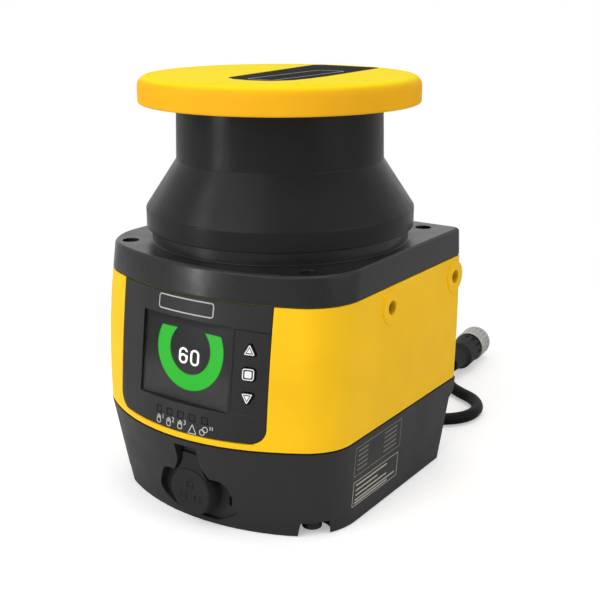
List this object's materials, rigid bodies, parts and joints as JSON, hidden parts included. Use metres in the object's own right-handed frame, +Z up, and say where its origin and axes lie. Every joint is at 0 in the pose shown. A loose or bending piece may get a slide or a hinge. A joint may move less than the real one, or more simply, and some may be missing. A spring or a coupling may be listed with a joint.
{
  "type": "safety laser scanner",
  "caption": "Two-colour safety laser scanner with a front display and keys, a round optical head under a flat cap, a capped data port and a short rear cable with a round plug.",
  "frame": {"origin": "on the flat underside, on the axis of the round optical head", "axes": "+Z up along the head's axis, -Y out of the front with the display, +X to the right of someone facing the front"},
  "size_m": [0.1038, 0.2209, 0.1508],
  "materials": {
    "yellow_shell": "satin moulded yellow",
    "yellow_cap": "satin moulded yellow",
    "black_shell": "fine satin moulded black",
    "black_frame": "semi-gloss black",
    "window_black": "smooth infrared-clear black",
    "bezel_black": "fine satin black",
    "screen_pane": "clear pane",
    "screen_green": "lit green",
    "screen_white": "lit white",
    "screen_dark": "dark screen",
    "key_black": "soft key with printed sign",
    "light_pipe": "smoked clear",
    "rubber_black": "matt rubber",
    "gasket_olive": "matt gasket",
    "label_film": "printed film",
    "screw_black": "black oxide",
    "screw_steel": "zinc plated",
    "steel": "ground",
    "aluminium": "turned",
    "cast_grey": "die-cast",
    "brass": "turned",
    "copper": "enamelled wire",
    "board_green": "solder mask",
    "mirror_glass": "first-surface mirror",
    "lens_glass": "polished lens",
    "inner_black": "moulded black",
    "cable_black": "smooth cable jacket",
    "nickel": "nickel plated, knurled"
  },
  "bodies": {
    "housing": {"lower_housing": "black_shell", "base_screws": "screw_black", "base_gasket": "rubber_black", "main_housing": "yellow_shell", "mounting_inserts": "brass", "frame_gasket": "gasket_olive", "top_frame": "black_frame", "frame_screws": "screw_black", "front_bezel": "bezel_black", "display_window": "screen_pane", "display_ring": "screen_green", "display_mark": "screen_white", "display_module": "screen_dark", "light_pipes": "light_pipe", "display_board": "board_green", "main_board": "board_green", "interface_board": "board_green", "board_spacers": "steel", "board_screws": "screw_steel", "port_shell": "nickel", "port_insert": "inner_black", "port_contacts": "brass", "cap_anchor": "rubber_black", "window_seal": "rubber_black", "optical_window": "window_black", "cap_seal": "rubber_black", "top_cap": "yellow_cap", "cap_label": "label_film", "motor_plate": "aluminium", "cap_screws": "screw_steel", "motor_stator": "steel", "motor_coils": "copper", "bearings": "steel", "encoder_sensor": "inner_black", "optics_chassis": "cast_grey", "chassis_screws": "screw_steel", "lens_holder": "inner_black", "receiver_lens": "lens_glass", "laser_module": "brass", "detector_board": "board_green", "dirt_sensor_ring": "board_green", "cable_gland": "inner_black", "cable": "cable_black", "plug_body": "inner_black", "plug_insert": "inner_black"},
    "rotor": {"rotor_shaft": "steel", "rotor_bell": "steel", "encoder_disc": "steel", "mirror_carrier": "inner_black", "scan_mirror": "mirror_glass"},
    "key_up": {"button_up": "key_black"},
    "key_select": {"button_select": "key_black"},
    "key_down": {"button_down": "key_black"},
    "port_cover": {"port_cap": "rubber_black"},
    "plug_ring": {"plug_nut": "nickel"}
  },
  "joints": [
    {"name": "mirror_spin", "type": "hinge", "parent": "housing", "child": "rotor", "pos_m": [0, 0, 0.13], "axis": [0, 0, 1], "continuous": true},
    {"name": "key_up_press", "type": "slide", "parent": "housing", "child": "key_up", "axis": [0, 0.9895, -0.1448], "range_m": [0, 0.0008], "stiffness_N_per_m": 1500},
    {"name": "key_select_press", "type": "slide", "parent": "housing", "child": "key_select", "axis": [0, 0.9895, -0.1448], "range_m": [0, 0.0008], "stiffness_N_per_m": 1500},
    {"name": "key_down_press", "type": "slide", "parent": "housing", "child": "key_down", "axis": [0, 0.9895, -0.1448], "range_m": [0, 0.0008], "stiffness_N_per_m": 1500},
    {"name": "port_cap_swing", "type": "hinge", "parent": "housing", "child": "port_cover", "pos_m": [0.0027, -0.05695, 0.0264], "axis": [-1, 0, 0], "range_deg": [0, 95], "stiffness_Nm_per_rad": 0.002},
    {"name": "plug_nut_turn", "type": "hinge", "parent": "housing", "child": "plug_ring", "pos_m": [0.0136, 0.1185, 0.0074], "axis": [-0.1236, 0.9923, 0], "continuous": true}
  ]
}
